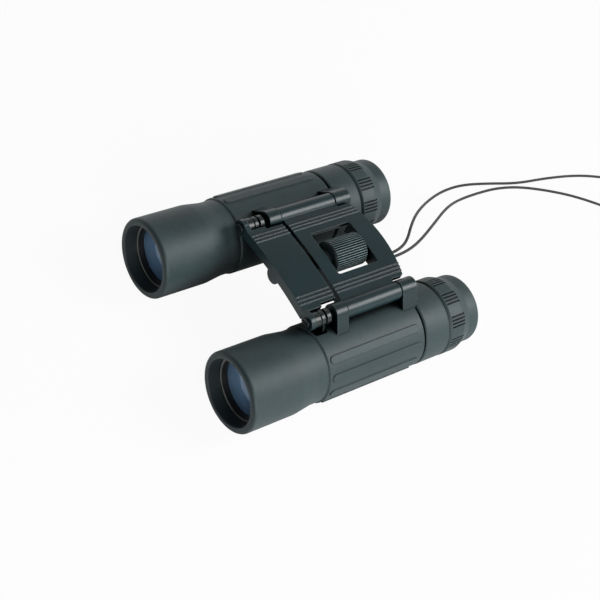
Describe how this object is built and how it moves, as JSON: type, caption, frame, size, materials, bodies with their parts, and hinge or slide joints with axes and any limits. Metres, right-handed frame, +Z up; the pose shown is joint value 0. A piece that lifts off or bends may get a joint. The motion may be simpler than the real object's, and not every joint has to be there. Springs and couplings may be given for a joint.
{
  "type": "compact folding binoculars",
  "caption": "Compact roof-prism binoculars that fold on paired hinge lines, with rubber armour, a central focus wheel, a diopter ring, soft eyecups and a cord wrist strap.",
  "frame": {"origin": "middle of the instrument, on the surface that it rests on", "axes": "+Y from the objectives to the eyepieces, +X towards the user's left barrel as the picture shows it, +Z up"},
  "size_m": [0.1024, 0.3069, 0.0435],
  "materials": {
    "armour_rubber": "matt grained rubber",
    "black_metal": "satin black paint",
    "black_plastic": "matt black",
    "black_anodised": "black anodised",
    "steel": "blackened steel",
    "brass": "turned brass",
    "coated_glass": "blue anti-reflection coating",
    "clear_glass": "polished",
    "cord_fabric": "fine round braid"
  },
  "bodies": {
    "bridge": {"bridge_rear": "black_metal", "left_hinge_pin": "steel", "right_hinge_pin": "steel", "strap_knot": "cord_fabric", "strap_cord": "cord_fabric"},
    "front_bridge": {"bridge_front": "black_metal", "left_focus_rod": "black_metal", "right_focus_rod": "black_metal", "rod_screws": "steel", "focus_nut": "brass"},
    "wheel": {"focus_wheel": "black_plastic", "focus_screw": "brass", "screw_clip": "steel"},
    "left_barrel": {"left_barrel_tube": "black_metal", "left_hood": "armour_rubber", "left_grip": "armour_rubber", "left_prism_holder": "black_plastic", "left_penta_prism": "clear_glass", "left_roof_prism": "clear_glass", "left_prism_clip": "steel", "left_collar": "black_plastic", "left_eyecup": "armour_rubber", "left_ocular_cell": "black_plastic", "left_field_stop": "black_anodised", "left_field_lens": "clear_glass", "left_ocular_spacer": "black_anodised", "left_eye_lens": "coated_glass", "left_ocular_ring": "black_anodised"},
    "right_barrel": {"right_barrel_tube": "black_metal", "right_hood": "armour_rubber", "right_grip": "armour_rubber", "right_prism_holder": "black_plastic", "right_penta_prism": "clear_glass", "right_roof_prism": "clear_glass", "right_prism_clip": "steel"},
    "left_objective": {"left_objective_cell": "black_anodised", "left_objective_ring": "black_metal", "left_objective_crown": "coated_glass", "left_objective_flint": "clear_glass", "left_focus_arm": "steel"},
    "right_objective": {"right_objective_cell": "black_anodised", "right_objective_ring": "black_metal", "right_objective_crown": "coated_glass", "right_objective_flint": "clear_glass", "right_focus_arm": "steel"},
    "diopter": {"right_diopter_ring": "black_plastic", "right_eyecup": "armour_rubber"},
    "right_ocular": {"right_ocular_cell": "black_plastic", "right_field_stop": "black_anodised", "right_field_lens": "clear_glass", "right_ocular_spacer": "black_anodised", "right_eye_lens": "coated_glass", "right_ocular_ring": "black_anodised"}
  },
  "joints": [
    {"name": "left_fold", "type": "hinge", "parent": "bridge", "child": "left_barrel", "pos_m": [0.0266, 0, 0.03775], "axis": [0, 1, 0], "range_deg": [-11.4, 40.1]},
    {"name": "right_fold", "type": "hinge", "parent": "bridge", "child": "right_barrel", "pos_m": [-0.02372, 0, 0.03646], "axis": [0, -1, 0], "range_deg": [-3.2, 48.3]},
    {"name": "focus_turn", "type": "hinge", "parent": "bridge", "child": "wheel", "pos_m": [0.00145, 0.0101, 0.03646], "axis": [0, 1, 0], "range_deg": [-72, 288]},
    {"name": "front_bridge_slide", "type": "slide", "parent": "bridge", "child": "front_bridge", "axis": [0, -1, 0], "range_m": [-0.0008, 0.0032]},
    {"name": "left_objective_slide", "type": "slide", "parent": "left_barrel", "child": "left_objective", "axis": [0, -1, 0], "range_m": [-0.0008, 0.0032]},
    {"name": "right_objective_slide", "type": "slide", "parent": "right_barrel", "child": "right_objective", "axis": [0, -1, 0], "range_m": [-0.0008, 0.0032]},
    {"name": "diopter_turn", "type": "hinge", "parent": "right_barrel", "child": "diopter", "pos_m": [-0.0342, 0.0353, 0.017], "axis": [0, 1, 0], "range_deg": [-40, 40]},
    {"name": "right_ocular_slide", "type": "slide", "parent": "right_barrel", "child": "right_ocular", "axis": [0, 1, 0], "range_m": [-0.00067, 0.00067]}
  ],
  "couplings": [
    {"joint": "focus_turn", "follows": "front_bridge_slide", "rad_per_m": 1570},
    {"joint": "left_objective_slide", "follows": "front_bridge_slide", "ratio": 1},
    {"joint": "right_objective_slide", "follows": "front_bridge_slide", "ratio": 1},
    {"joint": "diopter_turn", "follows": "right_ocular_slide", "rad_per_m": 1040}
  ]
}
